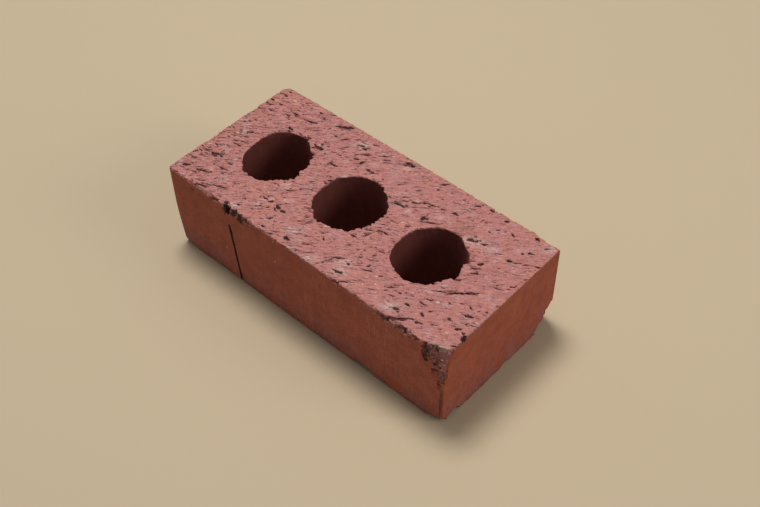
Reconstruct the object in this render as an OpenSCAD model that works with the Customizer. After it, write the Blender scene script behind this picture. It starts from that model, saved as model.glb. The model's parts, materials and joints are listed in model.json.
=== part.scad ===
// Cored clay brick, extruded as a column and cut to height by wires.
// +X runs along the length, +Y across the bed face and +Z up, along the extrusion.
// The origin is the middle of the lower bed face's outline.

/* [Body] */
// Length of the brick, end to end
length = 194; // [162:1:300]
// Width of the brick across its bed face
width = 91; // [70:1:140]
// Height of the brick between its two wire-cut bed faces
height = 56; // [40:1:110]
// Radius of the four upright arrises that the die leaves
arris_r = 2; // [1:0.5:8]

/* [Cores] */
// Number of core holes through the brick, in one row along its length
core_count = 3; // [1:1:3]
// Diameter of each core hole
core_d = 38.5; // [20:0.5:46]
// Thickness of the clay web between two neighbouring cores
core_web = 16; // [8:0.5:19]
// How far the row of cores sits off the brick's middle along its length
core_shift_x = -4; // [-6:0.5:6]
// How far the row of cores sits off the brick's middle across its width
core_shift_y = -1; // [-4:0.5:4]

/* [Broken front corner] */
// Length of the break along the front face's upper arris
front_break_x = 14; // [4:1:30]
// Length of the break along the end face's upper arris
front_break_y = 6; // [2:1:14]
// Length of the break down the upright arris
front_break_z = 22; // [5:1:36]

/* [Broken rear corner] */
// Length of the break along the rear face's lower arris
rear_break_x = 12; // [4:1:24]
// Length of the break along the end face's lower arris
rear_break_y = 15; // [4:1:30]
// Length of the break up the upright arris
rear_break_z = 17; // [4:1:34]

/* [Worn corner] */
// Length that is worn off each arris at the lower front corner of the far end
worn_corner = 7; // [2:1:16]

/* [Bites in the lower arrises] */
// Length of the bite along the front face's lower arris
front_bite_length = 11; // [4:1:20]
// Depth of the front bite, up and in from the arris
front_bite_depth = 3; // [0.5:0.5:5]
// Distance of the front bite's middle from the brick's +X end
front_bite_from_end = 53; // [20:1:70]
// Length of the bite along the end face's lower arris
end_bite_length = 11; // [4:1:20]
// Depth of the end bite, up and in from the arris
end_bite_depth = 3.5; // [0.5:0.5:5]
// Distance of the end bite's middle from the front face
end_bite_from_front = 9; // [8:1:20]

/* [Scored line down the front face] */
// Width of the scored line
score_width = 1.4; // [0.5:0.1:3]
// Depth of the scored line
score_depth = 1.5; // [0.5:0.1:3]
// Distance of the line's lower end from the brick's -X end
score_from_end = 50; // [15:0.5:70]
// Distance from the upper bed face down to the top of the line
score_top_gap = 14; // [4:1:20]
// Lean of the line away from upright, in degrees
score_lean = 5.5; // [0:0.5:8]

/* [Hidden] */

core_pitch = core_d + core_web;
clay_colour = [0.60, 0.32, 0.27];
// How far a cutting shape reaches past the face that it cuts
overcut = 1;
arris_fn = 48;
core_fn = 96;
bite_fn = 64;

// Plan outline of the extruded column: straight sides and round corners.
module plan_outline() {
    square([length - 2 * arris_r, width], center = true);
    square([length, width - 2 * arris_r], center = true);
    for (sx = [-1, 1], sy = [-1, 1])
        translate([sx * (length / 2 - arris_r), sy * (width / 2 - arris_r)])
            circle(r = arris_r, $fn = arris_fn);
}

// The row of round cores, each right through the brick.
module cores() {
    for (i = [0 : core_count - 1])
        translate([core_shift_x + (i - (core_count - 1) / 2) * core_pitch, core_shift_y, -overcut])
            cylinder(d = core_d, h = height + 2 * overcut, $fn = core_fn);
}

// Takes a corner off along a plane. side holds the corner's sign on each axis, and legs
// the lengths that the plane cuts off the three arrises which meet there.
module corner_break(side, legs) {
    e = overcut;
    reach = [for (i = [0 : 2])
        legs[i] * (1 + e / legs[(i + 1) % 3] + e / legs[(i + 2) % 3])];
    translate([side[0] * length / 2, side[1] * width / 2, side[2] > 0 ? height : 0])
        mirror([side[0] > 0 ? 1 : 0, 0, 0])
            mirror([0, side[1] > 0 ? 1 : 0, 0])
                mirror([0, 0, side[2] > 0 ? 1 : 0])
                    polyhedron(
                        points = [[-e, -e, -e], [reach[0], -e, -e], [-e, reach[1], -e], [-e, -e, reach[2]]],
                        faces = [[0, 1, 2], [0, 2, 3], [0, 3, 1], [1, 3, 2]]
                    );
}

// A shell-shaped bite out of an arris. The sphere's centre stands off the arris, outwards,
// by just enough for the bite to have this length along the arris and this depth on both faces.
module arris_bite(at, outward, bite_length, bite_depth) {
    half = bite_length / 2;
    stand_off = (half * half - bite_depth * bite_depth) / (sqrt(2) * bite_depth);
    translate(at + outward * stand_off / sqrt(2))
        sphere(r = sqrt(half * half + stand_off * stand_off), $fn = bite_fn);
}

// A line scored down the front face, which stops short of the upper bed face.
module scored_line() {
    line_length = (height - score_top_gap + overcut) / cos(score_lean);
    translate([-length / 2 + score_from_end, -width / 2, -overcut])
        rotate([0, -score_lean, 0])
            translate([-score_width / 2, -overcut, 0])
                cube([score_width, score_depth + overcut, line_length]);
}

module brick() {
    color(clay_colour)
        difference() {
            linear_extrude(height = height)
                plan_outline();
            cores();
            corner_break([1, -1, 1], [front_break_x, front_break_y, front_break_z]);
            corner_break([1, 1, -1], [rear_break_x, rear_break_y, rear_break_z]);
            corner_break([-1, -1, -1], [worn_corner, worn_corner, worn_corner]);
            arris_bite([length / 2 - front_bite_from_end, -width / 2, 0], [0, -1, -1],
                front_bite_length, front_bite_depth);
            arris_bite([length / 2, -width / 2 + end_bite_from_front, 0], [1, 0, -1],
                end_bite_length, end_bite_depth);
            scored_line();
        }
}

brick();
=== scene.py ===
"""A cored clay brick: torn wire-cut beds, die-skinned sides, ragged core rims, broken corners.

The clay is a signed distance field on a grid. It starts as the CAD brick, and everything after
that wears, tears, chips and pits it. Shapes are worked out in millimetres and turned into metres
when the mesh is made. +X is along the brick, -Y is the scored front face and +Z is up.
"""

import json
import math

import bmesh
import bpy
import numpy as np
import openvdb as vdb
from mathutils import Matrix, Vector


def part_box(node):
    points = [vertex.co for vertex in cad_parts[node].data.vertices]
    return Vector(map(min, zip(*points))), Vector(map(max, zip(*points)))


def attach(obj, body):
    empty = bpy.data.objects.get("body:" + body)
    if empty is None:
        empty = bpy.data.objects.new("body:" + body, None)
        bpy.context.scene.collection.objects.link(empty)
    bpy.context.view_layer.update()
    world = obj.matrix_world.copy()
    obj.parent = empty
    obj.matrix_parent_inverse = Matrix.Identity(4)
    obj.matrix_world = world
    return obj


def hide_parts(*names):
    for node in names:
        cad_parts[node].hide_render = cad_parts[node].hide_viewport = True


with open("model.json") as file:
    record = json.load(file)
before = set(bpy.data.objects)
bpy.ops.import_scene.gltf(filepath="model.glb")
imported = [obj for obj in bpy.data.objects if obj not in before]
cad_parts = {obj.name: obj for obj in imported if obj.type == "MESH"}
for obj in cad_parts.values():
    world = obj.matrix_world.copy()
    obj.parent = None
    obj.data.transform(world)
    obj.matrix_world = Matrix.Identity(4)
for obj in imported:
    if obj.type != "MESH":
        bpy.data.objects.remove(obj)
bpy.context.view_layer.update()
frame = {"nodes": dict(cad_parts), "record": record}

MM = 0.001
NODE = "brick"

# -------- sizes, in millimetres
# The clay's grid: its cell, the spare cells round the brick, and the cells each side of the
# surface that hold the CAD's distances and that the mesh is made from
VOXEL = 0.36
MARGIN_CELLS = 4
BAND_CELLS = 8
MESH_CELLS = 3
# Cells along the edge of a noise tile
NOISE_CELLS = 120
MAX_TRIANGLES = 190000
SMALLEST_EDGE = 0.003
SHARP_ANGLE = math.radians(48)

box_low, box_high = (np.array(corner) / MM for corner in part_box(NODE))
HALF_LENGTH = (box_high[0] - box_low[0]) / 2
HALF_WIDTH = (box_high[1] - box_low[1]) / 2
HEIGHT = box_high[2] - box_low[2]
ARRIS_RADIUS = 2.0

# The wire dragged the clay along this direction, in degrees from +X
GRAIN_ANGLE = 32
# Radius of the upright arris at the back of the far end, at its foot and at its top
FAR_ROUNDING = (3.0, 6.5)
# The far end of the brick curves in towards its foot, by this much there
END_LEAN = 3.6
LEAN_POWER = 2.2
# The scored line's place at the foot of the front face, and its lean
SCORE_X = -47.0
SCORE_LEAN = math.radians(5.5)
# How far into the clay the beds, the sides and the cores' surroundings are reshaped
BED_REACH = 4.5
SIDE_REACH = 5
CORE_REACH = 5
# The CAD's cores are filled this far past their walls before they are cut again
CORE_FILL = 2.5
# A core's raggedness dies away exponentially over this depth
RIM_FADE = 2.0
# Steps round a core for its ragged rim
RING_STEPS = 720
# A thin tear is at least this wide
THINNEST_TEAR = 0.6
# More than any distance to a core that matters
FAR_AWAY = 50.0

# -------- colours, linear
TORN_PINK = (0.462, 0.190, 0.171)
TORN_SALMON = (0.478, 0.192, 0.163)
TORN_MAUVE = (0.448, 0.189, 0.176)
# Die skin of the front, back and far end: partly its own red, partly painted light, brightened to stand in
# for light on the front
SKIN_RED = (0.370, 0.102, 0.065)
SKIN_END = (0.325, 0.080, 0.043)
SKIN_ORANGE = (0.372, 0.100, 0.054)
SKIN_PURPLE = (0.310, 0.112, 0.098)
# Near-black: painted shade in the tears, cracks, pits and chips, also used for the skin's scuffs and
# specks
PIT_DARK = (0.022, 0.008, 0.007)
BROKEN_RED = (0.330, 0.112, 0.092)
BROKEN_MAUVE = (0.270, 0.122, 0.116)
CREAM = (0.700, 0.560, 0.430)
CREAM_DUST = (0.600, 0.460, 0.410)
PALE_DUST = (0.540, 0.400, 0.395)
IRON_GREY = (0.085, 0.070, 0.068)
# The cores' walls: the same die skin as the sides, but much darker, as painted shade inside the cores
CORE_MAROON = (0.165, 0.044, 0.036)


# -------- noise
def smooth_step(low, high, value):
    t = np.clip((value - low) / (high - low), 0, 1)
    return t * t * (3 - 2 * t)


def noise_tile(wavelength, seed):
    """A cube of noise with unit spread that repeats at its faces. Its features are wavelength mm."""
    n = NOISE_CELLS
    white = np.random.default_rng(seed).standard_normal((n, n, n), dtype=np.float32)
    f = np.fft.fftfreq(n, d=VOXEL) ** 2
    h = np.fft.rfftfreq(n, d=VOXEL) ** 2
    squared = f[:, None, None] + f[None, :, None] + h[None, None, :]
    sigma = wavelength / 4
    tile = np.fft.irfftn(np.fft.rfftn(white) * np.exp(-2 * (math.pi * sigma) ** 2 * squared), s=(n, n, n))
    return (tile / tile.std()).astype(np.float32)


def noise_map(shape, length, width, angle, seed):
    """Flat noise with unit spread, whose grain is length by width mm, turned by angle degrees."""
    white = np.random.default_rng(seed).standard_normal(shape)
    fx = np.fft.fftfreq(shape[0], d=VOXEL)[:, None]
    fy = np.fft.rfftfreq(shape[1], d=VOXEL)[None, :]
    c, s = math.cos(math.radians(angle)), math.sin(math.radians(angle))
    along, across = fx * c + fy * s, fy * c - fx * s
    squared = (along * length / 4) ** 2 + (across * width / 4) ** 2
    made = np.fft.irfft2(np.fft.rfft2(white) * np.exp(-2 * math.pi ** 2 * squared), s=shape)
    return (made / made.std()).astype(np.float32)


def noise_line(positions, wavelength, seed):
    """Noise with unit spread along a line. Its positions are taken to be one cell apart."""
    return noise_map((len(positions), 2), wavelength, 0.01, 0, seed)[:, 0]


# -------- the clay
def points_of(mesh, kind=np.float64):
    """The mesh's points, one in each row."""
    points = np.empty(len(mesh.vertices) * 3, kind)
    mesh.vertices.foreach_get("co", points)
    return points.reshape(-1, 3)


class Clay:
    """Signed distance to the clay's surface in mm, negative inside, on a grid of cubic cells."""

    def __init__(self, node):
        mesh = frame["nodes"][node].data
        mesh.calc_loop_triangles()
        corners = np.empty(len(mesh.loop_triangles) * 3, np.int32)
        mesh.loop_triangles.foreach_get("vertices", corners)
        self.transform = vdb.createLinearTransform(voxelSize=VOXEL)
        grid = vdb.FloatGrid.createLevelSetFromPolygons(
            points=points_of(mesh, np.float32) / MM, triangles=corners.reshape(-1, 3).astype(np.uint32),
            transform=self.transform, halfWidth=BAND_CELLS)
        self.first = np.floor(box_low / VOXEL).astype(int) - MARGIN_CELLS
        last = np.ceil(box_high / VOXEL).astype(int) + MARGIN_CELLS
        self.axes = [np.arange(a, b + 1, dtype=np.float32) * VOXEL for a, b in zip(self.first, last)]
        self.field = np.empty([len(a) for a in self.axes], np.float32)
        grid.copyToArray(self.field, ijk=tuple(int(i) for i in self.first))
        self.tiles = {}
        self.pockets = []

    def block(self, low, high):
        """The cells between two corners: their slices, and their coordinates as open arrays."""
        slices, coordinates = [], []
        for i, axis in enumerate(self.axes):
            a, b = np.searchsorted(axis, (low[i], high[i]))
            slices.append(slice(int(a), int(b)))
            shape = [1, 1, 1]
            shape[i] = b - a
            coordinates.append(axis[a:b].reshape(shape))
        return tuple(slices), coordinates

    def noise(self, slices, wavelength, seed):
        """Noise in a block of cells, the same for the same wavelength and seed."""
        if (wavelength, seed) not in self.tiles:
            self.tiles[wavelength, seed] = noise_tile(wavelength, seed)
        picks = [np.arange(s.start, s.stop) % NOISE_CELLS for s in slices]
        return self.tiles[wavelength, seed][np.ix_(*picks)]

    def keep_inside(self, slices, distance):
        """Leaves only the clay that is also inside distance."""
        np.maximum(self.field[slices], distance, out=self.field[slices])

    def cut(self, slices, distance):
        """Takes away the clay that is inside distance."""
        self.keep_inside(slices, -distance)

    def mesh(self, name):
        grid = vdb.FloatGrid(float(BAND_CELLS * VOXEL))
        grid.transform = self.transform
        limit = MESH_CELLS * VOXEL
        grid.background = limit
        grid.copyFromArray(np.clip(self.field, -limit, limit), ijk=tuple(int(i) for i in self.first))
        points, triangles, quads = grid.convertToPolygons(isovalue=0, adaptivity=0)
        made = bpy.data.meshes.new(name)
        faces = [*triangles.tolist(), *quads.tolist()]
        made.from_pydata((points * MM).tolist(), [], faces)
        made.validate()
        return made


# -------- beds
# Tears that stand out on the upper bed: middle x and y, length, width, angle and depth
UPPER_TEARS = (
    (78.5, -10, 15, 1.5, 38, 1.9), (69, -16.5, 9, 0.9, 32, 1.2), (-46.5, 41, 9.5, 2.4, 36, 2.2),
    (-76, 30.5, 7, 1.2, 2, 1.4), (-65, 31.5, 9, 1.1, 15, 1.3), (-84, -21, 8, 1.8, 8, 1.6),
    (-90, -22.5, 4, 1.4, 20, 0.9), (-73, -43, 7.5, 1.3, 12, 1.5), (-80, -35, 8, 1.7, 25, 1.5),
    (-65, -37.5, 9, 1, 22, 1.3), (-57, 28.5, 7, 0.9, 40, 1), (-82, -8.5, 5, 1, 0, 1.3),
    (-83, -1, 4, 1.2, 20, 1.2), (-69, 20, 4, 1.4, -8, 1.5), (-46.5, 18.5, 6, 2.2, -5, 2.1),
    (-31.5, 14.5, 5.5, 1.7, 0, 1.5), (-27, 34.5, 3.2, 2, 10, 1.8), (-20.5, 26.5, 3.4, 2, 60, 1.7),
    (-23, 32, 8, 1, 38, 1.1), (0, 41, 5.5, 3.6, 5, 1.7), (15.5, 15, 8.5, 2.4, 12, 1.2),
    (26.5, 25, 7, 1.2, 20, 1.4), (42, 29, 4.2, 2, 20, 1.9), (35, 27.5, 3.6, 1.4, 30, 1.5),
    (32, 16, 4.6, 2.1, 45, 1.7), (21, 21.5, 3.6, 1.3, 20, 1.4), (84, 42.5, 3.2, 2.3, 0, 2.1),
    (87.5, 32.5, 3.2, 1.7, 10, 1.5), (82.5, 21.5, 3.6, 1.4, 30, 1.6), (73, 36.5, 3.2, 1.4, -30, 1.4),
    (54.5, 43.5, 3.6, 1.7, 5, 1.7), (47, 41, 3.6, 1.6, 35, 1.4), (73, 6.5, 5.2, 1.3, 40, 1.5),
    (74.5, 3.5, 4.6, 1.4, 35, 1.4), (73, 10.5, 3.6, 1.6, 40, 1.5), (70.5, -5, 5, 1.4, 25, 1.6),
    (23, -5, 6.5, 1.3, 10, 1.4), (17, -11.5, 5, 1, 35, 1.2), (13, -17, 4.2, 1.4, 5, 1.3),
    (31, -15.5, 3.4, 1.3, 15, 1.3), (30, -20, 3, 1, 60, 1.2), (19, -32, 7, 1, 38, 1.2),
    (24, -32.5, 2.2, 1.4, 0, 1.5), (24.5, -39.5, 5.2, 1.8, 20, 1.6), (30, -42.5, 4.6, 1, 30, 1.2),
    (60.5, -38.2, 3.2, 2.2, 20, 2.1), (62, -44, 12, 1.3, 28, 1.7), (67.5, -40.5, 10, 1.2, 34, 1.6),
    (74, -38, 6, 1.1, 20, 1.3), (68, -27.7, 4.2, 1, 0, 1.2), (72.5, -33, 3.6, 1.4, -10, 1.5),
    (63, -33.2, 3.2, 1.7, 5, 1.6), (50, -30, 6, 1, 35, 1.2), (90, -19, 5.2, 2.2, 35, 1.4),
    (87, -14.5, 3.2, 1.2, -20, 1.2), (84.5, -26.8, 3.6, 1, 20, 1.2), (-40, -27.5, 3.2, 1.7, 10, 1.5),
    (-36.5, -27.5, 3, 1.6, 20, 1.4), (-30.5, -28, 3.4, 2, -15, 1.6), (-26.5, -28.5, 3.2, 1.4, 20, 1.4),
    (-11, -40.5, 3.4, 2.2, 0, 2), (-26.5, -42.5, 2.6, 1.3, 0, 1.3), (-53, -43, 3.2, 1.7, 10, 1.6),
    (-12.5, 23.5, 6, 1.5, 10, 1.3), (3, -28.5, 3, 1.2, -20, 1.2), (96, -31, 3.4, 2.6, 80, 2.4),
    (-12, 36, 5, 0.9, 40, 1.1), (6, 26.5, 5, 0.9, 40, 1.1), (60, 20.5, 6, 2.4, 15, 1.3),
    (66, 22, 4, 1.8, 25, 1.2), (-95, 31, 3.2, 1.6, 20, 1.3), (-88, 31, 2.6, 1.4, 0, 1.4),
    (-91, -37.5, 4.5, 1.5, 25, 1.5),
)


def tear(relief, edge_noise, axes, spot):
    """Sinks one spindle-shaped tear with a ragged outline into a bed's relief."""
    x, y, length, width, angle, depth = spot
    half_length, half_width = length / 2, width / 2
    reach = half_length + 1.5
    i0, i1 = np.searchsorted(axes[0], (x - reach, x + reach))
    j0, j1 = np.searchsorted(axes[1], (y - reach, y + reach))
    if i0 >= i1 or j0 >= j1:
        return
    dx = axes[0][i0:i1, None] - x
    dy = axes[1][None, j0:j1] - y
    c, s = math.cos(math.radians(angle)), math.sin(math.radians(angle))
    ragged = edge_noise[i0:i1, j0:j1]
    # Its outline wanders by these shares of its half length and half width
    along = (dx * c + dy * s) / half_length + 0.10 * ragged
    across = (dy * c - dx * s) / half_width + 0.30 * ragged
    room = np.clip(1 - along ** 2 - across ** 2, 0, 1)
    sunk = depth * room ** 0.4 * (0.8 + 0.2 * np.clip(across, -1, 1))
    np.maximum(relief[i0:i1, j0:j1], sunk, out=relief[i0:i1, j0:j1])


def random_tears(rng, count, length, width, depth):
    """Tears scattered over a bed, mostly along the grain. Nearer the -X end they are denser and lie
    more level."""
    spots = []
    for _ in range(count):
        x = HALF_LENGTH * (2 * rng.random() ** 1.3 - 1)
        y = rng.uniform(-HALF_WIDTH, HALF_WIDTH)
        long_side = length * rng.lognormal(0, 0.45)
        wide_side = min(width * rng.lognormal(0, 0.35), long_side)
        lean = GRAIN_ANGLE * (0.35 + 0.65 * smooth_step(-HALF_LENGTH, -HALF_LENGTH / 3, x))
        spots.append((x, y, long_side, wide_side, lean + rng.normal(0, 13), depth * rng.uniform(0.6, 1.3)))
    return spots


def splinters(rng, spots):
    """Thin tears that lie close beside the larger ones, and make their outlines ragged."""
    made = []
    for x, y, length, width, angle, depth in spots:
        for _ in range(3 if length > 4 else 1):
            along, across = rng.uniform(-0.5, 0.5) * length, rng.normal(0, 0.6) * width
            c, s = math.cos(math.radians(angle)), math.sin(math.radians(angle))
            thin_length = length * rng.uniform(0.3, 0.7)
            thin_angle = angle + rng.normal(0, 9)
            thin_depth = depth * rng.uniform(0.4, 0.9)
            made.append((x + along * c - across * s, y + along * s + across * c, thin_length,
                         max(THINNEST_TEAR, width * 0.45), thin_angle, thin_depth))
    return made


# Tears scattered over each bed: how many, and their usual length, width and depth
SCATTERED_TEARS = ((240, 4.2, 0.72, 1.10), (620, 2.1, 0.60, 0.90), (560, 1.1, 0.60, 0.70))


def bed_relief(clay, seed, own_tears):
    """How deep a bed lies below its plane, and how much of that is tears and pits."""
    shape = (len(clay.axes[0]), len(clay.axes[1]))
    rng = np.random.default_rng(seed)
    # Broad waves, drag marks, crumbs and deeper scratches
    surface = 0.22 + 0.09 * noise_map(shape, 34, 26, 20, seed + 1)
    surface += 0.075 * noise_map(shape, 7, 1.5, GRAIN_ANGLE, seed + 2)
    surface += 0.055 * noise_map(shape, 2.2, 1.2, GRAIN_ANGLE, seed + 3)
    scratches = noise_map(shape, 9, 1.1, GRAIN_ANGLE, seed + 4)
    surface += 0.30 * np.clip(scratches - 1.55, 0, 1)
    edge_noise = noise_map(shape, 3.0, 1.2, GRAIN_ANGLE, seed + 5)
    tears = np.zeros(shape, np.float32)
    # Its own tears are made a little longer than listed, and thinner in the +X half
    spots = [(x, y, 1.12 * length, (1.02 if x < 0 else 0.80) * width, angle, depth)
             for x, y, length, width, angle, depth in own_tears]
    spots += splinters(rng, own_tears)
    for count, length, width, depth in SCATTERED_TEARS:
        spots += random_tears(rng, count, length, width, depth)
    for spot in spots:
        tear(tears, edge_noise, clay.axes, spot)
    return np.clip(surface, 0, None), tears


def sink_beds(clay):
    """Cuts both beds down to their relief, and returns the tears in each for the colours."""
    low = (-HALF_LENGTH - 2, -HALF_WIDTH - 2)
    high = (HALF_LENGTH + 2, HALF_WIDTH + 2)
    surface, upper = bed_relief(clay, 11, UPPER_TEARS)
    slices, (_, _, z) = clay.block((*low, HEIGHT - BED_REACH), (*high, HEIGHT + 2))
    part = (surface + upper)[slices[0], slices[1], None]
    clay.keep_inside(slices, z - (HEIGHT - part))
    surface, lower = bed_relief(clay, 41, ())
    slices, (_, _, z) = clay.block((*low, -2), (*high, BED_REACH))
    part = (surface + lower)[slices[0], slices[1], None]
    clay.keep_inside(slices, part - z)
    return upper, lower


# -------- sides
def end_lean(z):
    """How far the far end lies in from its plane at a height."""
    return END_LEAN * np.clip(1 - z / HEIGHT, 0, 1) ** LEAN_POWER


def sink_sides(clay):
    """Gives the four sides a slight wave, and leans the far end in towards its foot."""
    for axis, half in ((0, HALF_LENGTH), (1, HALF_WIDTH)):
        other = 1 - axis
        shape = (len(clay.axes[other]), len(clay.axes[2]))
        for side in (-1, 1):
            wave = 0.16 + 0.07 * noise_map(shape, 45, 40, 0, 60 + 5 * axis + side)
            wave = np.clip(wave + 0.02 * noise_map(shape, 3, 60, 0, 70 + 5 * axis + side), 0, None)
            low = [-HALF_LENGTH - 2, -HALF_WIDTH - 2, -2]
            high = [HALF_LENGTH + 2, HALF_WIDTH + 2, HEIGHT + 2]
            if side < 0:
                high[axis] = -half + SIDE_REACH
            else:
                low[axis] = half - SIDE_REACH
            slices, coordinates = clay.block(low, high)
            depth = wave[slices[other], slices[2]]
            if axis == 0 and side < 0:
                depth = depth + end_lean(coordinates[2].reshape(1, -1))
            depth = depth[None] if axis == 0 else depth[:, None, :]
            clay.keep_inside(slices, side * coordinates[axis] - half + depth)


def wear_arris(clay, axis, sides, radii, roughness, seed):
    """Rounds the arris that runs along axis. sides are the signs of the two faces that meet in it.
    radii holds pairs of a position along the arris and the radius of wear there."""
    others = [i for i in range(3) if i != axis]
    middle = np.array([0, 0, HEIGHT / 2])
    half = np.array([HALF_LENGTH, HALF_WIDTH, HEIGHT / 2])
    reach = max(r for _, r in radii) * 1.4 + 0.6
    low, high = middle - half - 1, middle + half + 1
    for i, side in zip(others, sides):
        if side > 0:
            low[i] = middle[i] + half[i] - reach
        else:
            high[i] = middle[i] - half[i] + reach
    slices, coordinates = clay.block(low, high)
    line = coordinates[axis].ravel()
    radius = np.interp(line, *zip(*radii))
    wobble = 0.16 * noise_line(line, 5, seed) + 0.12 * noise_line(line, 1.8, seed + 1)
    radius += wobble * (np.minimum(radius, 2.0) if axis < 2 else 0.3)
    shape = [1, 1, 1]
    shape[axis] = -1
    radius = np.maximum(radius, 0.3).reshape(shape)
    u, v = (half[i] - side * (coordinates[i] - middle[i]) for i, side in zip(others, sides))
    distance = np.hypot(np.clip(radius - u, 0, None), np.clip(radius - v, 0, None)) - radius
    grain = clay.noise(slices, 1.5, 5) * 0.6 + clay.noise(slices, 4.0, 6)
    closeness = np.clip(2 * (1 - np.maximum(u, v) / radius), 0, 1)
    clay.keep_inside(slices, distance + roughness * grain * closeness)


def wear_arrises(clay):
    front_top = ((-97, 2.6), (-92, 1.4), (-82, 2.2), (-70, 2.4), (-56, 2.4), (-52, 2.0), (-36, 2.0),
                 (-30, 1.4), (-14, 1.2), (-8, 0.9), (14, 0.9), (24, 1.3), (34, 1.7), (44, 1.5),
                 (54, 2.2), (72, 2.4), (82, 1.7), (97, 1.6))
    back_top = ((-97, 2.6), (-85, 1.4), (-40, 0.8), (60, 0.8), (66, 1.8), (72, 1.0), (78, 1.4),
                (86, 3.4), (92, 4.2), (97, 3.0))
    front_foot = ((-97, 4.6), (-88, 2.2), (-80, 1.0), (-30, 0.8), (36, 0.8), (44, 2.0), (56, 1.1),
                  (84, 1.3), (92, 4.0), (97, 6.5))
    near_foot = ((-45, 6.5), (-40, 3.6), (-33, 1.0), (0, 0.7), (4, 1.4), (8, 0.7), (45, 1.2))
    wear_arris(clay, 0, (-1, 1), front_top, 0.30, 100)
    wear_arris(clay, 0, (1, 1), back_top, 0.25, 110)
    wear_arris(clay, 1, (-1, 1), ((-45, 2.2), (-39, 1.0), (0, 1.0), (30, 1.2), (45, 2.4)), 0.22, 120)
    wear_arris(clay, 1, (1, 1), ((-45, 1.2), (-34, 0.8), (30, 0.6), (38, 1.0), (45, 2.4)), 0.10, 130)
    wear_arris(clay, 0, (-1, -1), front_foot, 0.24, 140)
    wear_arris(clay, 0, (1, -1), ((-97, 2.0), (97, 1.6)), 0.28, 150)
    wear_arris(clay, 1, (-1, -1), ((-45, 5.0), (-34, 2.6), (-20, 1.4), (45, 1.6)), 0.28, 160)
    wear_arris(clay, 1, (1, -1), near_foot, 0.22, 170)
    wear_arris(clay, 2, (-1, 1), ((0, FAR_ROUNDING[0]), (HEIGHT, FAR_ROUNDING[1])), 0.06, 180)


# -------- cores
bores = [mount for mount in frame["record"]["mounts"] if mount["kind"] == "bore"]
CORE_BORES = sorted(bores, key=lambda bore: bore["pos_m"][0])
# Outline of each core on the upper bed: its radius every 30 degrees, from +X towards +Y. Set by
# hand, and corrected after the cores were measured in the photo and in a render.
CORE_OUTLINES = (
    (18.9, 19.3, 19.2, 20.9, 20.3, 18.7, 16.9, 18.2, 19.4, 20.2, 20.3, 18.3),
    (18.8, 19.6, 20.0, 20.8, 20.6, 20.4, 19.0, 20.4, 20.2, 20.3, 20.0, 19.4),
    (18.0, 18.4, 18.9, 19.6, 18.9, 18.7, 18.3, 19.9, 20.8, 21.3, 20.1, 18.7),
)
# How ragged each rim is every 30 degrees, from 0 to 1
RIM_DAMAGE = (
    (1.0, 0.9, 0.8, 0.5, 0.2, 0.1, 0.1, 0.1, 0.5, 0.7, 0.9, 0.9),
    (0.6, 0.4, 0.3, 0.3, 0.2, 0.2, 0.1, 0.2, 0.5, 0.4, 0.9, 0.8),
    (0.8, 0.7, 0.4, 0.2, 0.2, 0.2, 0.1, 0.1, 0.3, 0.5, 0.9, 1.0),
)


def round_values(values, angles):
    """Smooth values between those given at even steps round a circle."""
    wave = np.fft.rfft(values)
    made = np.full(angles.shape, wave[0].real / len(values))
    for k in range(1, len(wave)):
        share = 2 if 2 * k < len(values) else 1
        turned = wave[k].real * np.cos(k * angles) - wave[k].imag * np.sin(k * angles)
        made = made + share / len(values) * turned
    return made


def core_radius(number, angles, depth):
    """Radius of a core's wall at these angles, and at this depth below the nearer bed."""
    outline = round_values(CORE_OUTLINES[number], angles)
    damage = np.clip(round_values(RIM_DAMAGE[number], angles), 0, 1)
    steps = np.linspace(-math.pi, math.pi, RING_STEPS + 1)
    step_length = 2 * math.pi * float(np.mean(CORE_OUTLINES[number])) / RING_STEPS
    # noise_line takes the steps to be a cell apart, so the wavelengths are scaled to that
    bites = noise_line(steps[1:], 9.0 * VOXEL / step_length, 200 + number)
    teeth = noise_line(steps[1:], 2.6 * VOXEL / step_length, 210 + number)
    ragged = np.clip(0.75 * bites + 0.85 * teeth * np.clip(1 + bites, 0.2, 1.6) + 0.1, -0.9, 2.6)
    ragged = np.interp(angles, steps, np.append(ragged, ragged[0]))
    flare = np.exp(-np.clip(depth, 0, None) / RIM_FADE)
    return outline - 0.25 + flare * (0.30 + 1.25 * (0.15 + damage) * ragged)


def shape_cores(clay):
    """Replaces the CAD's round cores with worn, slightly oval ones that have ragged rims."""
    cores = []
    for number, bore in enumerate(CORE_BORES):
        cx, cy = bore["pos_m"][0] / MM, bore["pos_m"][1] / MM
        reach = bore["dims"]["r_mm"] + CORE_REACH
        slices, (x, y, z) = clay.block((cx - reach, cy - reach, -2), (cx + reach, cy + reach, HEIGHT + 2))
        angles = np.arctan2(y - cy, x - cx)
        away = np.hypot(x - cx, y - cy)
        depth = np.minimum(HEIGHT - z, z)
        slab = np.maximum(z - HEIGHT, -z) + 0 * away
        filled = np.where(away < bore["dims"]["r_mm"] + CORE_FILL, slab, clay.field[slices])
        ribs = 0.05 * np.sin(9 * angles + number)
        radius = core_radius(number, angles, depth) + ribs
        rough = 0.10 * clay.noise(slices, 1.5, 5) + 0.12 * clay.noise(slices, 4.0, 6)
        rough = rough * (0.22 + 1.3 * np.exp(-np.clip(depth, 0, None) / RIM_FADE))
        clay.field[slices] = np.maximum(filled, radius + rough - away)
        cores.append((cx, cy, number))
    return cores
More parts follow.
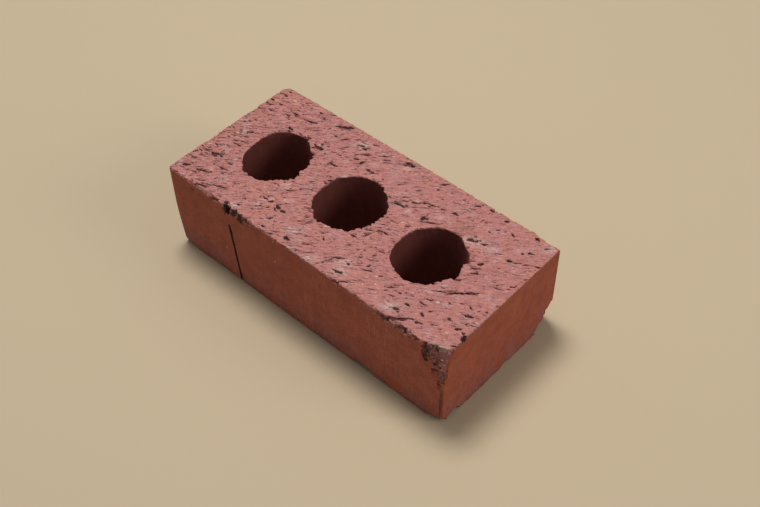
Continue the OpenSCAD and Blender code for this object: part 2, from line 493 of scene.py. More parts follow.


# -------- damage
# Chips: middle, radii, lean about Y in degrees, roughness, and how much painted shade darkens their
# insides.
# On the broken upper corner at the front of the +X end: a rough scoop, an upright gouge at its
# left edge, loose steps down the upright arris, and a thin groove beside that
CORNER_CHIPS = (
    ((90, -46.8, 49.5), (6, 2.7, 8), 0, 0.5, 0.15),
    ((84.6, -46, 49.8), (2.1, 2.5, 7.6), -5, 0.4, 0.75),
    ((92, -44.6, 57), (5, 3.4, 2.6), 0, 0.55, 0.2),
    ((88, -45.6, 56.6), (2, 2.4, 2), 0, 0.45, 0.5),
    ((95.4, -46.2, 39), (1.8, 1.8, 4.2), 12, 0.45, 0.4),
    ((94.4, -46.1, 31.5), (2.4, 2.1, 4.2), 6, 0.55, 0.35),
    ((91.6, -46, 39.5), (2.6, 1.6, 2.8), 0, 0.55, 0.3),
    ((95.2, -46, 17), (0.9, 1.9, 13.5), 1.5, 0.07, 0.5),
)
# On the broken lower corner at the back of the +X end, and bites in the lower arrises
FOOT_CHIPS = (
    ((97, 46, 9), (5, 6.5, 7.4), 0, 0.45, 0),
    ((98, 40, 1), (5, 8.5, 5), 0, 0.45, 0),
    ((96, -36.2, 0), (5.5, 5.2, 3.6), 0, 0.25, 0.8),
    ((97.2, 5, 0.2), (2, 3.2, 1.8), 0, 0.3, 0.4),
    ((43.5, -44.4, 0), (6.8, 5.5, 3), 0, 0.3, 0.6),
)
# In the upper front arris, the worst of them above the scored line and right of it
FRONT_CHIPS = (
    ((-50.8, -45.6, 53), (2.6, 2.4, 4.6), 0, 0.6, 0.75),
    ((-46, -46, 54.4), (4.5, 2.4, 3), 0, 0.6, 0.75),
    ((-41.4, -45.7, 52.6), (3.4, 2.2, 3.6), 24, 0.6, 0.85),
    ((-36.6, -45.9, 53.2), (3.2, 1.9, 2.2), 20, 0.5, 0.7),
    ((-78.5, -46.3, 51.4), (2.2, 1.5, 1.9), 0, 0.35, 0.5),
    ((-62, -46.2, 54.4), (2.8, 2, 1.9), 0, 0.45, 0.4),
    ((-24, -46.2, 55), (2.4, 1.6, 1.6), 0, 0.4, 0.4),
    ((27, -46.4, 54.8), (4.2, 1.8, 1.8), 0, 0.4, 0.3),
    ((58.5, -46.6, 53.8), (6.5, 2.3, 2.6), 0, 0.45, 0.2),
    ((69.5, -46.2, 54), (5, 2.1, 2.4), 10, 0.45, 0.4),
    ((79, -46.2, 54.6), (3, 1.8, 1.8), 0, 0.45, 0.6),
)
# In the upper arrises of the back and of both ends
BACK_CHIPS = (
    ((66, 46, 56.4), (3, 1.8, 1.8), 0, 0.3, 0.4),
    ((88, 46.4, 56.4), (7, 2.4, 2.2), 0, 0.4, 0),
    ((96, 45.6, 57), (3.6, 4, 2.6), 0, 0.4, 0),
    ((-84, 46.2, 56.4), (7, 1.8, 1.8), 0, 0.3, 0),
    ((-96.8, -14, 56.5), (1.6, 5, 1.8), 0, 0.3, 0),
    ((-97, 18, 56.5), (1.6, 3.6, 1.8), 0, 0.3, 0),
    ((96.8, -31.2, 55), (1.7, 1.7, 2.3), 0, 0.45, 0.85),
)
# A spalled flake left of the scored line
FLAKE = ((-78.0, -46.2, 48.6), (3.4, 1.0, 0.9), -18, 0.2, 0.2)
# Broken corners: the signs of their faces, their plane's reach along each edge, how much deeper
# they lie, roughness, noise seed, and the chips on them. The CAD doesn't cut the second one.
BROKEN_CORNERS = (
    (((1, -1, 1), (14, 6, 22), 0.3, 0.55, 8), CORNER_CHIPS),
    (((1, -1, -1), (13, 6, 6.5), 0.2, 0.25, 9), ()),
    (((1, 1, -1), (12, 15, 17), 0.4, 0.5, 9), FOOT_CHIPS),
)
# Places of the pinholes in the front's skin, as x and z, and the y of their middles
PINHOLES = ((-72, 17), (-16, 32), (8, 44), (31, 21), (66, 30), (88, 12))
PINHOLE_Y = -45.6
# The chips that make the scored line ragged: how many, the lowest, their spacing, and their y
SCORE_CHIPS = 13
SCORE_LOWEST = 2.0
SCORE_SPACING = 2.9
SCORE_Y = -45.7


def chip(clay, middle, radii, lean=0, rough=0.35, painted_shade=0.0):
    """Knocks a rough, roundish chip out of the clay. Its last argument is how much painted shade darkens
    its inside.
    """
    if painted_shade > 0:
        clay.pockets.append((middle, radii, painted_shade))
    reach = max(radii) + 1.5
    slices, (x, y, z) = clay.block([m - reach for m in middle], [m + reach for m in middle])
    turn = np.array(Matrix.Rotation(math.radians(lean), 3, "Y"))
    d = (x - middle[0], y - middle[1], z - middle[2])
    local = [sum(turn[j][i] * d[j] for j in range(3)) for i in range(3)]
    length = np.sqrt(sum((p / r) ** 2 for p, r in zip(local, radii)))
    grain = 0.8 * clay.noise(slices, 1.5, 5) + 0.9 * clay.noise(slices, 4.0, 6)
    clay.cut(slices, (length - 1) * min(radii) + rough * grain)


def break_corner(clay, side, legs, inset, rough, seed):
    """Cuts a corner off along a rough plane, inset mm deeper than its legs say."""
    half = (HALF_LENGTH, HALF_WIDTH, HEIGHT / 2)
    corner = np.array([side[0] * half[0], side[1] * half[1], HEIGHT / 2 + side[2] * half[2]])
    reach = np.array(legs) * 1.35 + 3
    low = np.where(np.array(side) > 0, corner - reach, corner - 2)
    high = np.where(np.array(side) > 0, corner + 2, corner + reach)
    slices, coordinates = clay.block(low, high)
    inward = [side[i] * (corner[i] - coordinates[i]) for i in range(3)]
    slope = math.sqrt(sum(1 / leg ** 2 for leg in legs))
    beyond = (1 - sum(u / leg for u, leg in zip(inward, legs))) / slope
    grain = 0.7 * clay.noise(slices, 1.5, 5) + 0.9 * clay.noise(slices, 4.0, 6)
    grain = grain + clay.noise(slices, 9.0, seed)
    clay.keep_inside(slices, beyond + inset + rough * grain)


def nick_arris(clay, side, count, seed):
    """Small nicks at random places along an upper arris of the front (-1) or the back (1)."""
    rng = np.random.default_rng(seed)
    for _ in range(count):
        x = rng.uniform(-HALF_LENGTH + 3, HALF_LENGTH - 3)
        length, size = rng.uniform(0.8, 2.6), rng.uniform(0.6, 1.1)
        y = side * (HALF_WIDTH + rng.uniform(0.0, 0.4))
        z = HEIGHT - rng.uniform(-0.2, 1.0)
        # Each nick gets a random amount of painted shade inside
        chip(clay, (x, y, z), (length, size, size), painted_shade=rng.uniform(0.0, 0.8))


def damage(clay):
    """Nicks, breaks and chips the arrises and corners, and makes the scored line ragged."""
    nick_arris(clay, -1, 30, 501)
    nick_arris(clay, 1, 24, 502)
    for corner, spots in BROKEN_CORNERS:
        break_corner(clay, *corner)
        for spot in spots:
            chip(clay, *spot)
    for spot in (*FRONT_CHIPS, *BACK_CHIPS, FLAKE):
        chip(clay, *spot)
    # The pinholes and the scored line's chips get painted shade inside
    for x, z in PINHOLES:
        chip(clay, (x, PINHOLE_Y, z), (0.6, 0.8, 0.6), rough=0.1, painted_shade=0.8)
    for i in range(SCORE_CHIPS):
        z = SCORE_LOWEST + SCORE_SPACING * i
        x = SCORE_X - z * math.tan(SCORE_LEAN)
        chip(clay, (x, SCORE_Y, z), (1.0 + 0.20 * math.sin(2.3 * i), 1.0, 2.0), rough=0.16, painted_shade=1.0)


# -------- the mesh and its zones
def sample_map(values, axes, points):
    """Values of a flat map at points, between its cells."""
    spots = [(points[:, i] - axes[i][0]) / VOXEL for i in (0, 1)]
    low = [np.clip(np.floor(s).astype(int), 0, len(axes[i]) - 2) for i, s in enumerate(spots)]
    a, b = (np.clip(spot - cell, 0, 1) for spot, cell in zip(spots, low))
    i, j = low
    return ((1 - a) * (1 - b) * values[i, j] + a * (1 - b) * values[i + 1, j]
            + (1 - a) * b * values[i, j + 1] + a * b * values[i + 1, j + 1])


# How far the torn bed reaches down the front face, at positions along it
FRONT_LIP = ((-97, 0.9), (-82, 1.7), (-60, 1.9), (-52, 3.2), (-38, 3.2), (-30, 1.3), (-10, 0.8), (20, 1.0),
             (42, 1.3), (54, 3.2), (74, 3.2), (84, 1.8), (97, 1.2))
# The lip is stored as a share of this many millimetres
LIP_SCALE = 5
# Pale patches on the upper bed: middle x and y, length, width, and strength
PALE_PATCHES = (
    (-13, -34.5, 5.5, 3, 1), (-40, -33, 3.5, 1.6, 0.8), (-28, -37, 4, 1.5, 0.9),
    (-30, 36.5, 5.5, 4, 0.8), (22, -33.5, 7, 5, 0.7), (58, -39, 8, 4, 0.9),
    (7, -43.5, 7, 2.6, 0.9), (-6, -43.5, 5, 1.6, 0.6), (78, -20.5, 5.5, 1, 1),
    (60.5, 20, 10, 5, 0.8), (24, -39, 6, 5, 0.8), (-50, -42.5, 4, 2.5, 0.7),
    (92, -42, 6, 4, 0.9), (93, 40, 6, 3, 0.7), (-14, 29, 5, 3, 0.5),
    (70, 21, 6, 4, 0.6), (82, 30, 5, 3, 0.5), (38, 22, 7, 2, 0.5),
    (-20, 12, 4, 2.5, 0.5), (1, 38, 5, 3, 0.6), (-64, 33, 5, 1.2, 0.5),
)
# Grey patches on the upper bed, in the same way
GREY_PATCHES = (
    (13.5, 14.5, 9, 2.6, 1), (-1, 41, 6, 3, 1), (90, -43, 6, 4, 0.8),
    (-46, 41, 7, 2.4, 0.5), (-83, -21, 7, 2.4, 0.6), (52, 23, 8, 4, 0.6),
    (61, -38, 4, 3, 0.7), (68, 24, 5, 4, 0.7),
)


def patch_cover(points, patches):
    """How much of a bed's patches covers each point, from 0 to 1."""
    c, s = math.cos(math.radians(GRAIN_ANGLE)), math.sin(math.radians(GRAIN_ANGLE))
    cover = np.zeros(len(points))
    for x, y, length, width, strength in patches:
        dx, dy = points[:, 0] - x, points[:, 1] - y
        squared = ((dx * c + dy * s) / (length / 2)) ** 2 + ((dy * c - dx * s) / (width / 2)) ** 2
        cover = np.maximum(cover, strength * np.exp(-0.7 * squared))
    return cover


def pocket_cover(points, pockets):
    """How much painted shade darkens each point for lying inside a shaded chip."""
    cover = np.zeros(len(points))
    for middle, radii, painted_shade in pockets:
        squared = sum(((points[:, i] - middle[i]) / (radii[i] + 0.5)) ** 2 for i in range(3))
        cover = np.maximum(cover, painted_shade * (1 - smooth_step(1.0, 1.6, squared)))
    return cover


def add_zone(mesh, name, values):
    attribute = mesh.attributes.new(name, "FLOAT", "POINT")
    attribute.data.foreach_set("value", np.clip(values, 0, 1).astype(np.float32))


def mark_zones(mesh, clay, cores, upper, lower):
    """Stores tears, breaks, patches, the painted shade of chips and of the scored line, and the lip at
    each point, for the material.
    """
    points = points_of(mesh) / MM
    x, y, z = points.T
    lean = np.where(x < 0, end_lean(z), 0)
    radius = np.where((x < 0) & (y > 0), np.interp(z, (0, HEIGHT), FAR_ROUNDING), ARRIS_RADIUS)
    from_end, from_side = HALF_LENGTH - lean - np.abs(x), HALF_WIDTH - np.abs(y)
    inward = radius - np.hypot(np.clip(radius - from_end, 0, None), np.clip(radius - from_side, 0, None))
    near_bed = np.minimum(HEIGHT - z, z)
    gap = np.full(len(x), FAR_AWAY)
    for cx, cy, number in cores:
        outline = round_values(CORE_OUTLINES[number], np.arctan2(y - cy, x - cx))
        gap = np.minimum(gap, np.hypot(x - cx, y - cy) - outline)
    torn = [sample_map(tears, clay.axes, points) for tears in (upper, lower)]
    torn = np.where(z > HEIGHT / 2, *torn)
    torn = smooth_step(0.25, 1.0, torn) * (1 - smooth_step(4, 5, near_bed)) * (gap > 0.3)
    broken = smooth_step(1.0, 2.2, np.minimum(inward, near_bed)) * smooth_step(1.5, 3.0, gap)
    from_line = np.abs(x - SCORE_X + z * math.tan(SCORE_LEAN)) / math.cos(SCORE_LEAN)
    scored = (from_line < 1.6) * (y < -HALF_WIDTH + 3)
    top = smooth_step(HEIGHT - 6, HEIGHT - 3, z)
    add_zone(mesh, "torn", torn)
    add_zone(mesh, "broken", broken)
    add_zone(mesh, "pale", patch_cover(points, PALE_PATCHES) * top)
    add_zone(mesh, "grey", patch_cover(points, GREY_PATCHES) * top)
    # Painted shade in the chips and along the scored line
    add_zone(mesh, "pocket", np.maximum(pocket_cover(points, clay.pockets), scored))
    add_zone(mesh, "lip", np.where(y < 0, np.interp(x, *zip(*FRONT_LIP)), 0.5) / LIP_SCALE)


def thin_out(piece, most):
    """Collapses edges where the surface is flattest, until at most that many triangles are left."""
    piece.data.calc_loop_triangles()
    modifier = piece.modifiers.new("thin", "DECIMATE")
    modifier.ratio = min(1.0, most / len(piece.data.loop_triangles))
    graph = bpy.context.evaluated_depsgraph_get()
    thinned = bpy.data.meshes.new_from_object(piece.evaluated_get(graph))
    piece.modifiers.clear()
    piece.data = thinned


def stay_in_box(mesh):
    """Brings the points that thinning has moved past the CAD's box back to its sides."""
    points = np.clip(points_of(mesh), box_low * MM, box_high * MM)
    mesh.vertices.foreach_set("co", points.ravel())
    mesh.update()


def drop_loose(mesh):
    """Deletes the crumbs that the cuts have left hanging free of the brick, and the faces
    that thinning has shrunk to nothing."""
    ends = np.empty(len(mesh.edges) * 2, np.int32)
    mesh.edges.foreach_get("vertices", ends)
    first, second = ends.reshape(-1, 2).T
    label = np.arange(len(mesh.vertices))
    while True:
        lowest = np.minimum(label[first], label[second])
        found = label.copy()
        np.minimum.at(found, first, lowest)
        np.minimum.at(found, second, lowest)
        found = found[found]
        if (found == label).all():
            break
        label = found
    body = np.bincount(label).argmax()
    editable = bmesh.new()
    editable.from_mesh(mesh)
    loose = [v for v, part in zip(editable.verts, label) if part != body]
    bmesh.ops.delete(editable, geom=loose, context="VERTS")
    bmesh.ops.remove_doubles(editable, verts=editable.verts, dist=SMALLEST_EDGE * MM)
    editable.to_mesh(mesh)
    editable.free()


def build_brick():
    clay = Clay(NODE)
    cores = shape_cores(clay)
    upper, lower = sink_beds(clay)
    sink_sides(clay)
    wear_arrises(clay)
    damage(clay)
    piece = bpy.data.objects.new("fired_brick", clay.mesh("fired_brick"))
    bpy.context.scene.collection.objects.link(piece)
    thin_out(piece, MAX_TRIANGLES)
    mesh = piece.data
    stay_in_box(mesh)
    drop_loose(mesh)
    mark_zones(mesh, clay, cores, upper, lower)
    mesh.shade_smooth()
    mesh.set_sharp_from_angle(angle=SHARP_ANGLE)
    return piece


# -------- material
class Nodes:
    """Short names for the few kinds of node that the materials use."""

    def __init__(self, name):
        self.material = bpy.data.materials.new(name)
        self.material.use_nodes = True
        self.tree = self.material.node_tree
        self.tree.nodes.clear()

    def add(self, kind, inputs=(), **settings):
        node = self.tree.nodes.new(kind)
        for name, value in settings.items():
            setattr(node, name, value)
        for key, value in dict(inputs).items():
            if isinstance(value, bpy.types.NodeSocket):
                self.tree.links.new(value, node.inputs[key])
            else:
                node.inputs[key].default_value = value
        return node

    def math(self, operation, a, b=0.0):
        return self.add("ShaderNodeMath", {0: a, 1: b}, operation=operation).outputs[0]

    def times(self, a, b):
        return self.math("MULTIPLY", a, b)

    def zone(self, name):
        return self.add("ShaderNodeAttribute", attribute_name=name).outputs["Fac"]

    def ramp(self, value, low, high, start=0.0, end=1.0, kind="SMOOTHSTEP"):
        inputs = {"Value": value, "From Min": low, "From Max": high, "To Min": start, "To Max": end}
        return self.add("ShaderNodeMapRange", inputs, interpolation_type=kind).outputs[0]

    def ramp_line(self, value, low, high, start=0.0, end=1.0):
        return self.ramp(value, low, high, start, end, "LINEAR")

    def mix(self, factor, a, b):
        a, b = (c if isinstance(c, bpy.types.NodeSocket) else (*c, 1) for c in (a, b))
        return self.add("ShaderNodeMix", {0: factor, 6: a, 7: b}, data_type="RGBA").outputs[2]

    def tint(self, color, factor):
        """The colour made lighter or darker by a factor that may vary."""
        scaled = self.add("ShaderNodeVectorMath", {0: color, "Scale": factor}, operation="SCALE")
        return scaled.outputs[0]

    def place(self, vector, turn=0.0, scale=(1, 1, 1), shift=(0, 0, 0)):
        """Coordinates turned about Z by so many degrees and shifted, then scaled."""
        turned = self.add("ShaderNodeMapping", {"Vector": vector, "Rotation": (0, 0, -math.radians(turn)),
                                                "Location": shift})
        return self.add("ShaderNodeMapping", {"Vector": turned.outputs[0], "Scale": scale}).outputs[0]

    def noise(self, vector, size, detail=2.0, roughness=0.5):
        """Noise from 0 to 1 with features about size mm across."""
        inputs = {"Vector": vector, "Scale": 1 / size, "Detail": detail, "Roughness": roughness}
        return self.add("ShaderNodeTexNoise", inputs).outputs[0]

    def warp(self, vector, size, reach):
        """Coordinates shaken by noise, so that round things come out ragged."""
        noise = self.add("ShaderNodeTexNoise", {"Vector": vector, "Scale": 1 / size, "Detail": 3.0})
        centred = {0: noise.outputs["Color"], 1: (0.5, 0.5, 0.5)}
        shake = self.add("ShaderNodeVectorMath", centred, operation="SUBTRACT")
        shake = self.add("ShaderNodeVectorMath", {0: shake.outputs[0], "Scale": reach}, operation="SCALE")
        moved = self.add("ShaderNodeVectorMath", {0: vector, 1: shake.outputs[0]}, operation="ADD")
        return moved.outputs[0]

    def specks(self, vector, cell, share, radius):
        """1 inside specks, one in a share of the cells, and 0 outside."""
        cells = self.add("ShaderNodeTexVoronoi", {"Vector": vector, "Scale": 1 / cell})
        chosen = self.add("ShaderNodeSeparateColor", {0: cells.outputs["Color"]})
        picked = self.math("GREATER_THAN", chosen.outputs[0], 1 - share)
        near = self.ramp(cells.outputs["Distance"], radius, radius * 1.7, 1, 0)
        return self.math("MULTIPLY", picked, near)


def torn_color(n, mm, torn):
    """Colour of the torn beds: dusty pink with drag streaks, crumbs and flecks, and painted shade that
    turns the tears, cracks and pits near-black.
    """
    grain = n.place(mm, GRAIN_ANGLE, (0.22, 1, 1))
    ragged = n.warp(n.place(mm, GRAIN_ANGLE, (0.38, 1, 1)), 0.9, 1.5)
    color = n.mix(n.ramp(n.noise(mm, 24, 4, 0.6), 0.40, 0.64), TORN_PINK, TORN_SALMON)
    mauve = n.noise(n.place(mm, shift=(70, 30, 0)), 8, 4, 0.65)
    color = n.mix(n.ramp(mauve, 0.46, 0.66), color, TORN_MAUVE)
    streak = n.noise(grain, 1.0, 5, 0.7)
    color = n.tint(color, n.ramp(streak, 0.28, 0.72, 0.74, 1.20))
    crumb = n.noise(mm, 0.7, 5, 0.75)
    color = n.tint(color, n.ramp(crumb, 0.30, 0.70, 0.82, 1.14))
    # The fine cracks thin out from the -X end to the +X end; their near-black is painted shade.
    along = n.add("ShaderNodeSeparateXYZ", {0: mm}).outputs[0]
    more = n.ramp_line(along, -HALF_LENGTH, HALF_LENGTH, 0.030, -0.022)
    scratch = n.noise(n.place(mm, GRAIN_ANGLE, (0.13, 1, 1), (9, 4, 2)), 0.9, 3, 0.6)
    scratch = n.math("ADD", scratch, more)
    color = n.mix(n.ramp(scratch, 0.615, 0.665, 0, 0.80), color, PIT_DARK)
    crack = n.math("ADD", n.noise(n.place(mm, GRAIN_ANGLE, (0.30, 1, 1), (31, 14, 5)), 0.75, 3, 0.6), more)
    color = n.mix(n.ramp(crack, 0.63, 0.68, 0, 0.85), color, PIT_DARK)
    # Pits coloured near-black: painted shade
    pits = n.specks(ragged, 1.5, 0.28, 0.12)
    color = n.mix(n.times(pits, 0.85), color, PIT_DARK)
    color = n.mix(n.times(n.specks(ragged, 2.4, 0.10, 0.12), 0.75), color, CREAM)
    color = n.mix(n.times(n.specks(ragged, 1.3, 0.07, 0.16), 0.60), color, CREAM_DUST)
    dust = n.ramp(n.noise(ragged, 1.1, 3, 0.7), 0.50, 0.62)
    patchy = n.ramp(n.noise(mm, 9, 2), 0.52, 0.66, 0.0, 0.55)
    color = n.mix(n.times(dust, patchy), color, PALE_DUST)
    pale = n.times(n.zone("pale"), n.ramp(n.noise(ragged, 0.9, 4, 0.7), 0.44, 0.56, 0.15, 1.0))
    color = n.mix(pale, color, CREAM_DUST)
    grey = n.times(n.zone("grey"), n.ramp(n.noise(ragged, 1.2, 4, 0.7), 0.42, 0.56, 0.1, 0.85))
    color = n.mix(grey, color, IRON_GREY)
    # The tears coloured near-black: painted shade in the hollows
    color = n.mix(n.ramp(torn, 0.10, 0.62, 0, 0.94), color, PIT_DARK)
    height = n.math("ADD", n.times(n.ramp(streak, 0.2, 0.8), 0.9), n.times(crumb, 0.9))
    height = n.math("SUBTRACT", height, n.times(pits, 0.9))
    height = n.math("SUBTRACT", height, n.ramp(scratch, 0.60, 0.67, 0, 1.0))
    return color, n.math("SUBTRACT", height, n.ramp(crack, 0.62, 0.68, 0, 1.0))


def broken_color(n, mm):
    """Colour of broken clay: duller and darker than a bed, with grey and white grit."""
    ragged = n.warp(mm, 1.0, 1.4)
    color = n.mix(n.ramp(n.noise(mm, 2.2, 5, 0.75), 0.35, 0.65), BROKEN_RED, BROKEN_MAUVE)
    color = n.tint(color, n.ramp(n.noise(mm, 0.8, 4, 0.7), 0.30, 0.70, 0.70, 1.25))
    color = n.mix(n.times(n.specks(ragged, 1.7, 0.26, 0.22), 0.8), color, PALE_DUST)
    color = n.mix(n.specks(ragged, 2.6, 0.20, 0.16), color, CREAM)
    return n.mix(n.times(n.specks(ragged, 2.1, 0.22, 0.24), 0.8), color, IRON_GREY)


def skin_color(n, mm):
    """Colour of the die skin: brown-red and brightened towards the +X end by painted light, more orange on
    the +X end itself, and hazy towards the foot.
    """
    along = n.add("ShaderNodeSeparateXYZ", {0: mm})
    end = n.ramp(along.outputs[0], HALF_LENGTH - 1.6, HALF_LENGTH - 0.7)
    upright = n.place(mm, 0, (1, 1, 0.06))
    drawn = n.place(mm, 0, (1, 1, 0.6))
    # Painted light: the front, back and far end brighten by up to 9 % towards the +X end
    lighter = n.tint(SKIN_RED, n.ramp_line(along.outputs[0], -HALF_LENGTH / 2, HALF_LENGTH, 1.0, 1.09))
    color = n.mix(end, lighter, SKIN_END)
    color = n.mix(n.ramp(n.noise(drawn, 22, 3), 0.42, 0.68, 0.0, 0.6), color, SKIN_ORANGE)
    haze = n.ramp(n.noise(n.place(mm, shift=(20, 50, 10)), 9, 4, 0.6), 0.36, 0.60)
    haze = n.times(haze, n.ramp(along.outputs[2], 3, 26, 0.90, 0.18))
    color = n.mix(haze, color, SKIN_PURPLE)
    color = n.tint(color, n.ramp(n.noise(upright, 1.4, 3, 0.6), 0.30, 0.70, 0.97, 1.03))
    color = n.tint(color, n.ramp(n.noise(mm, 1.0, 5, 0.7), 0.30, 0.70, 0.84, 1.16))
    color = n.tint(color, n.ramp(n.noise(mm, 6.0, 4, 0.6), 0.32, 0.68, 0.90, 1.10))
    scrape = n.noise(n.place(mm, 0, (1, 1, 0.05), (3, 8, 1)), 0.9, 2, 0.5)
    scraped = n.times(n.ramp(scrape, 0.62, 0.70, 0, 0.26), n.ramp(n.noise(mm, 18, 2), 0.54, 0.66))
    color = n.mix(scraped, color, PALE_DUST)
    scuff = n.noise(n.place(mm, 0, (1, 1, 0.13), (40, 5, 9)), 1.0, 3, 0.6)
    color = n.mix(n.ramp(scuff, 0.66, 0.72, 0, 0.45), color, PIT_DARK)
    ragged = n.warp(mm, 1.0, 1.0)
    color = n.mix(n.times(n.specks(ragged, 4.6, 0.14, 0.07), 0.7), color, PIT_DARK)
    color = n.mix(n.times(n.specks(ragged, 8.0, 0.14, 0.05), 0.5), color, CREAM)
    streaks = n.times(n.noise(upright, 1.2, 3, 0.6), 0.30)
    height = n.math("ADD", streaks, n.times(n.noise(mm, 0.8, 4, 0.7), 0.40))
    return color, height


# The colour of a core's wall ends between these distances from the core's middle, and starts
# between these depths from the nearer bed
CORE_EDGE = (22.2, 23.0)
RIM_EDGE = (0.8, 1.5)


def depth_zones(n, mm):
    """How deep a point lies behind the sides and the beds, and whether it is in a core."""
    at = n.add("ShaderNodeSeparateXYZ", {0: mm}).outputs
    lean = n.math("POWER", n.ramp_line(at[2], 0, HEIGHT, 1, 0), LEAN_POWER)
    lean = n.times(n.times(lean, END_LEAN), n.math("LESS_THAN", at[0], 0.0))
    from_end = n.math("SUBTRACT", n.math("SUBTRACT", HALF_LENGTH, n.math("ABSOLUTE", at[0])), lean)
    from_side = n.math("SUBTRACT", HALF_WIDTH, n.math("ABSOLUTE", at[1]))
    in_far_corner = n.times(n.math("LESS_THAN", at[0], 0.0), n.math("GREATER_THAN", at[1], 0.0))
    wider = n.ramp_line(at[2], 0, HEIGHT, FAR_ROUNDING[0] - ARRIS_RADIUS, FAR_ROUNDING[1] - ARRIS_RADIUS)
    radius = n.math("ADD", n.times(wider, in_far_corner), ARRIS_RADIUS)
    short = [n.math("MAXIMUM", n.math("SUBTRACT", radius, depth), 0.0) for depth in (from_end, from_side)]
    squared = n.math("ADD", n.math("POWER", short[0], 2.0), n.math("POWER", short[1], 2.0))
    inward = n.math("SUBTRACT", radius, n.math("SQRT", squared))
    from_top = n.math("SUBTRACT", HEIGHT, at[2])
    near_bed = n.math("MINIMUM", from_top, at[2])
    core_gap = FAR_AWAY
    for bore in CORE_BORES:
        middle = (bore["pos_m"][0] / MM, bore["pos_m"][1] / MM, 0)
        flat = n.add("ShaderNodeVectorMath", {0: mm, 1: (1, 1, 0)}, operation="MULTIPLY").outputs[0]
        away = n.add("ShaderNodeVectorMath", {0: flat, 1: middle}, operation="DISTANCE").outputs["Value"]
        core_gap = n.math("MINIMUM", core_gap, away)
    wall = n.times(n.ramp(core_gap, *CORE_EDGE, 1, 0), n.ramp(near_bed, *RIM_EDGE))
    return inward, from_top, near_bed, wall


def clay_material():
    n = Nodes("fired_clay")
    here = n.add("ShaderNodeTexCoord").outputs["Object"]
    mm = n.add("ShaderNodeVectorMath", {0: here, "Scale": 1 / MM}, operation="SCALE").outputs[0]
    inward, from_top, near_bed, wall = depth_zones(n, mm)
    ragged_lip = n.ramp(n.noise(mm, 1.8, 3, 0.6), 0.35, 0.65, 0.35, 1.65)
    lip = n.times(n.times(n.zone("lip"), LIP_SCALE), ragged_lip)
    below_lip = n.ramp(n.math("SUBTRACT", from_top, lip), -0.15, 0.15)
    skin = n.times(n.ramp(inward, 0.75, 1.1, 1, 0), below_lip)
    skin = n.times(skin, n.ramp(near_bed, 0.2, 0.6))
    depth = n.math("MINIMUM", inward, near_bed)

    bed, coarse = torn_color(n, mm, n.zone("torn"))
    side, fine = skin_color(n, mm)
    color = n.mix(n.times(n.zone("broken"), 0.85), bed, broken_color(n, mm))
    color = n.mix(skin, color, side)
    mottle = n.ramp(n.noise(n.place(mm, 0, (1, 1, 0.3)), 5.0, 3), 0.3, 0.7, 0.92, 1.08)
    # Painted shade: the cores' walls take a much darker maroon than the sides' skin
    color = n.mix(wall, color, n.tint(CORE_MAROON, mottle))
    # Painted shade: chips, pinholes and the scored line are darkened towards near-black, speckled in the
    # chips
    speckled = n.ramp(n.noise(n.warp(mm, 1.0, 1.4), 0.9, 4, 0.7), 0.42, 0.56, 0.45, 0.92)
    pocket_shade = n.times(n.times(n.zone("pocket"), n.ramp(depth, 0.3, 0.7)), speckled)
    score_line_shade = n.times(n.ramp(n.zone("pocket"), 0.92, 0.97, 0, 0.94), n.ramp(depth, 0.34, 0.55))
    color = n.mix(n.math("MAXIMUM", pocket_shade, score_line_shade), color, PIT_DARK)

    # Relief that is too fine for the mesh
    smooth = n.math("MAXIMUM", skin, wall)
    height = n.add("ShaderNodeMix", {0: smooth, 2: coarse, 3: fine}, data_type="FLOAT").outputs[0]
    bump = n.add("ShaderNodeBump", {"Height": height, "Strength": 0.6, "Distance": 0.35 * MM})

    roughness = n.ramp(n.noise(mm, 3.0, 3), 0.3, 0.7, 0.78, 0.95)
    shader = n.add("ShaderNodeBsdfPrincipled", {"Base Color": color, "Roughness": roughness,
                                                "Specular IOR Level": 0.22, "Normal": bump.outputs[0]})
    n.add("ShaderNodeOutputMaterial", {"Surface": shader.outputs[0]})
    return n.material


# -------- stage
# Distances are in metres, the lens and the sensor in millimetres
CAMERA_TARGET = Vector((13.9, 1.5, 28.0)) * MM
CAMERA_AZIMUTH = math.radians(42.8)
CAMERA_ELEVATION = math.radians(47.54)
CAMERA_ROLL = math.radians(1.04)
CAMERA_DISTANCE = 0.5949
CAMERA_LENS = 53.03
CAMERA_SENSOR = 36
CAMERA_CLIP = (0.01, 20)
FLOOR_HALF = 4.0
FLOOR_COLOR = (0.52, 0.42, 0.285)
WORLD_COLOR = (0.97, 0.98, 1.0)
WORLD_STRENGTH = 0.24
# Softboxes: name, direction from the brick, distance and size in metres, watts, and colour
SOFTBOXES = (
    ("key", (-0.245, 0.13, 1.0), 1.6, 0.50, 19.5, (1.0, 0.985, 0.96)),
    ("side", (1.0, 0.35, 0.62), 1.8, 0.8, 8.5, (1.0, 0.97, 0.93)),
)


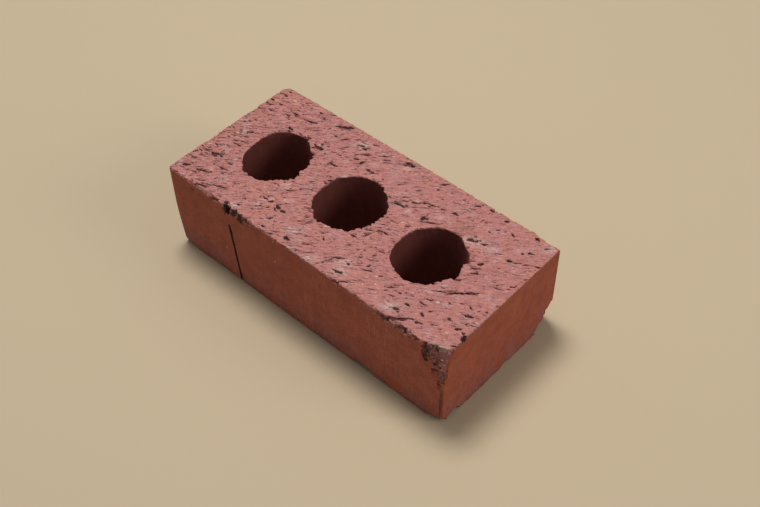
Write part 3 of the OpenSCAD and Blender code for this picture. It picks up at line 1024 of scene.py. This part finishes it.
def make_camera():
    data = bpy.data.cameras.new("camera")
    data.sensor_width = CAMERA_SENSOR
    data.lens = CAMERA_LENS
    data.clip_start, data.clip_end = CAMERA_CLIP
    camera = bpy.data.objects.new("camera", data)
    bpy.context.scene.collection.objects.link(camera)
    away = Vector((math.sin(CAMERA_AZIMUTH) * math.cos(CAMERA_ELEVATION),
                   -math.cos(CAMERA_AZIMUTH) * math.cos(CAMERA_ELEVATION), math.sin(CAMERA_ELEVATION)))
    turn = away.to_track_quat("Z", "Y").to_matrix().to_4x4() @ Matrix.Rotation(-CAMERA_ROLL, 4, "Z")
    camera.matrix_world = Matrix.Translation(CAMERA_TARGET + away * CAMERA_DISTANCE) @ turn
    bpy.context.scene.camera = camera


def make_floor():
    mesh = bpy.data.meshes.new("floor")
    corners = [(x * FLOOR_HALF, y * FLOOR_HALF, 0) for x, y in ((-1, -1), (1, -1), (1, 1), (-1, 1))]
    mesh.from_pydata(corners, [], [(0, 1, 2, 3)])
    floor = bpy.data.objects.new("floor", mesh)
    bpy.context.scene.collection.objects.link(floor)
    n = Nodes("floor")
    shader = n.add("ShaderNodeBsdfPrincipled", {"Base Color": (*FLOOR_COLOR, 1), "Roughness": 0.7,
                                                "Specular IOR Level": 0.2})
    n.add("ShaderNodeOutputMaterial", {"Surface": shader.outputs[0]})
    mesh.materials.append(n.material)


def add_softbox(name, direction, distance, size, power, color):
    """A square area light that faces the brick from that direction."""
    data = bpy.data.lights.new(name, "AREA")
    data.shape = "SQUARE"
    data.size = size
    data.energy = power
    data.color = color
    lamp = bpy.data.objects.new(name, data)
    bpy.context.scene.collection.objects.link(lamp)
    away = Vector(direction).normalized()
    lamp.matrix_world = (Matrix.Translation(away * distance)
                         @ away.to_track_quat("Z", "Y").to_matrix().to_4x4())


def make_light():
    world = bpy.data.worlds.new("world")
    world.use_nodes = True
    background = world.node_tree.nodes["Background"]
    background.inputs["Color"].default_value = (*WORLD_COLOR, 1)
    background.inputs["Strength"].default_value = WORLD_STRENGTH
    bpy.context.scene.world = world
    for softbox in SOFTBOXES:
        add_softbox(*softbox)


make_camera()
make_floor()
make_light()
brick = build_brick()
brick.data.materials.clear()
brick.data.materials.append(clay_material())
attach(brick, "root")
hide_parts(NODE)
bpy.context.scene.view_settings.view_transform = "Standard"
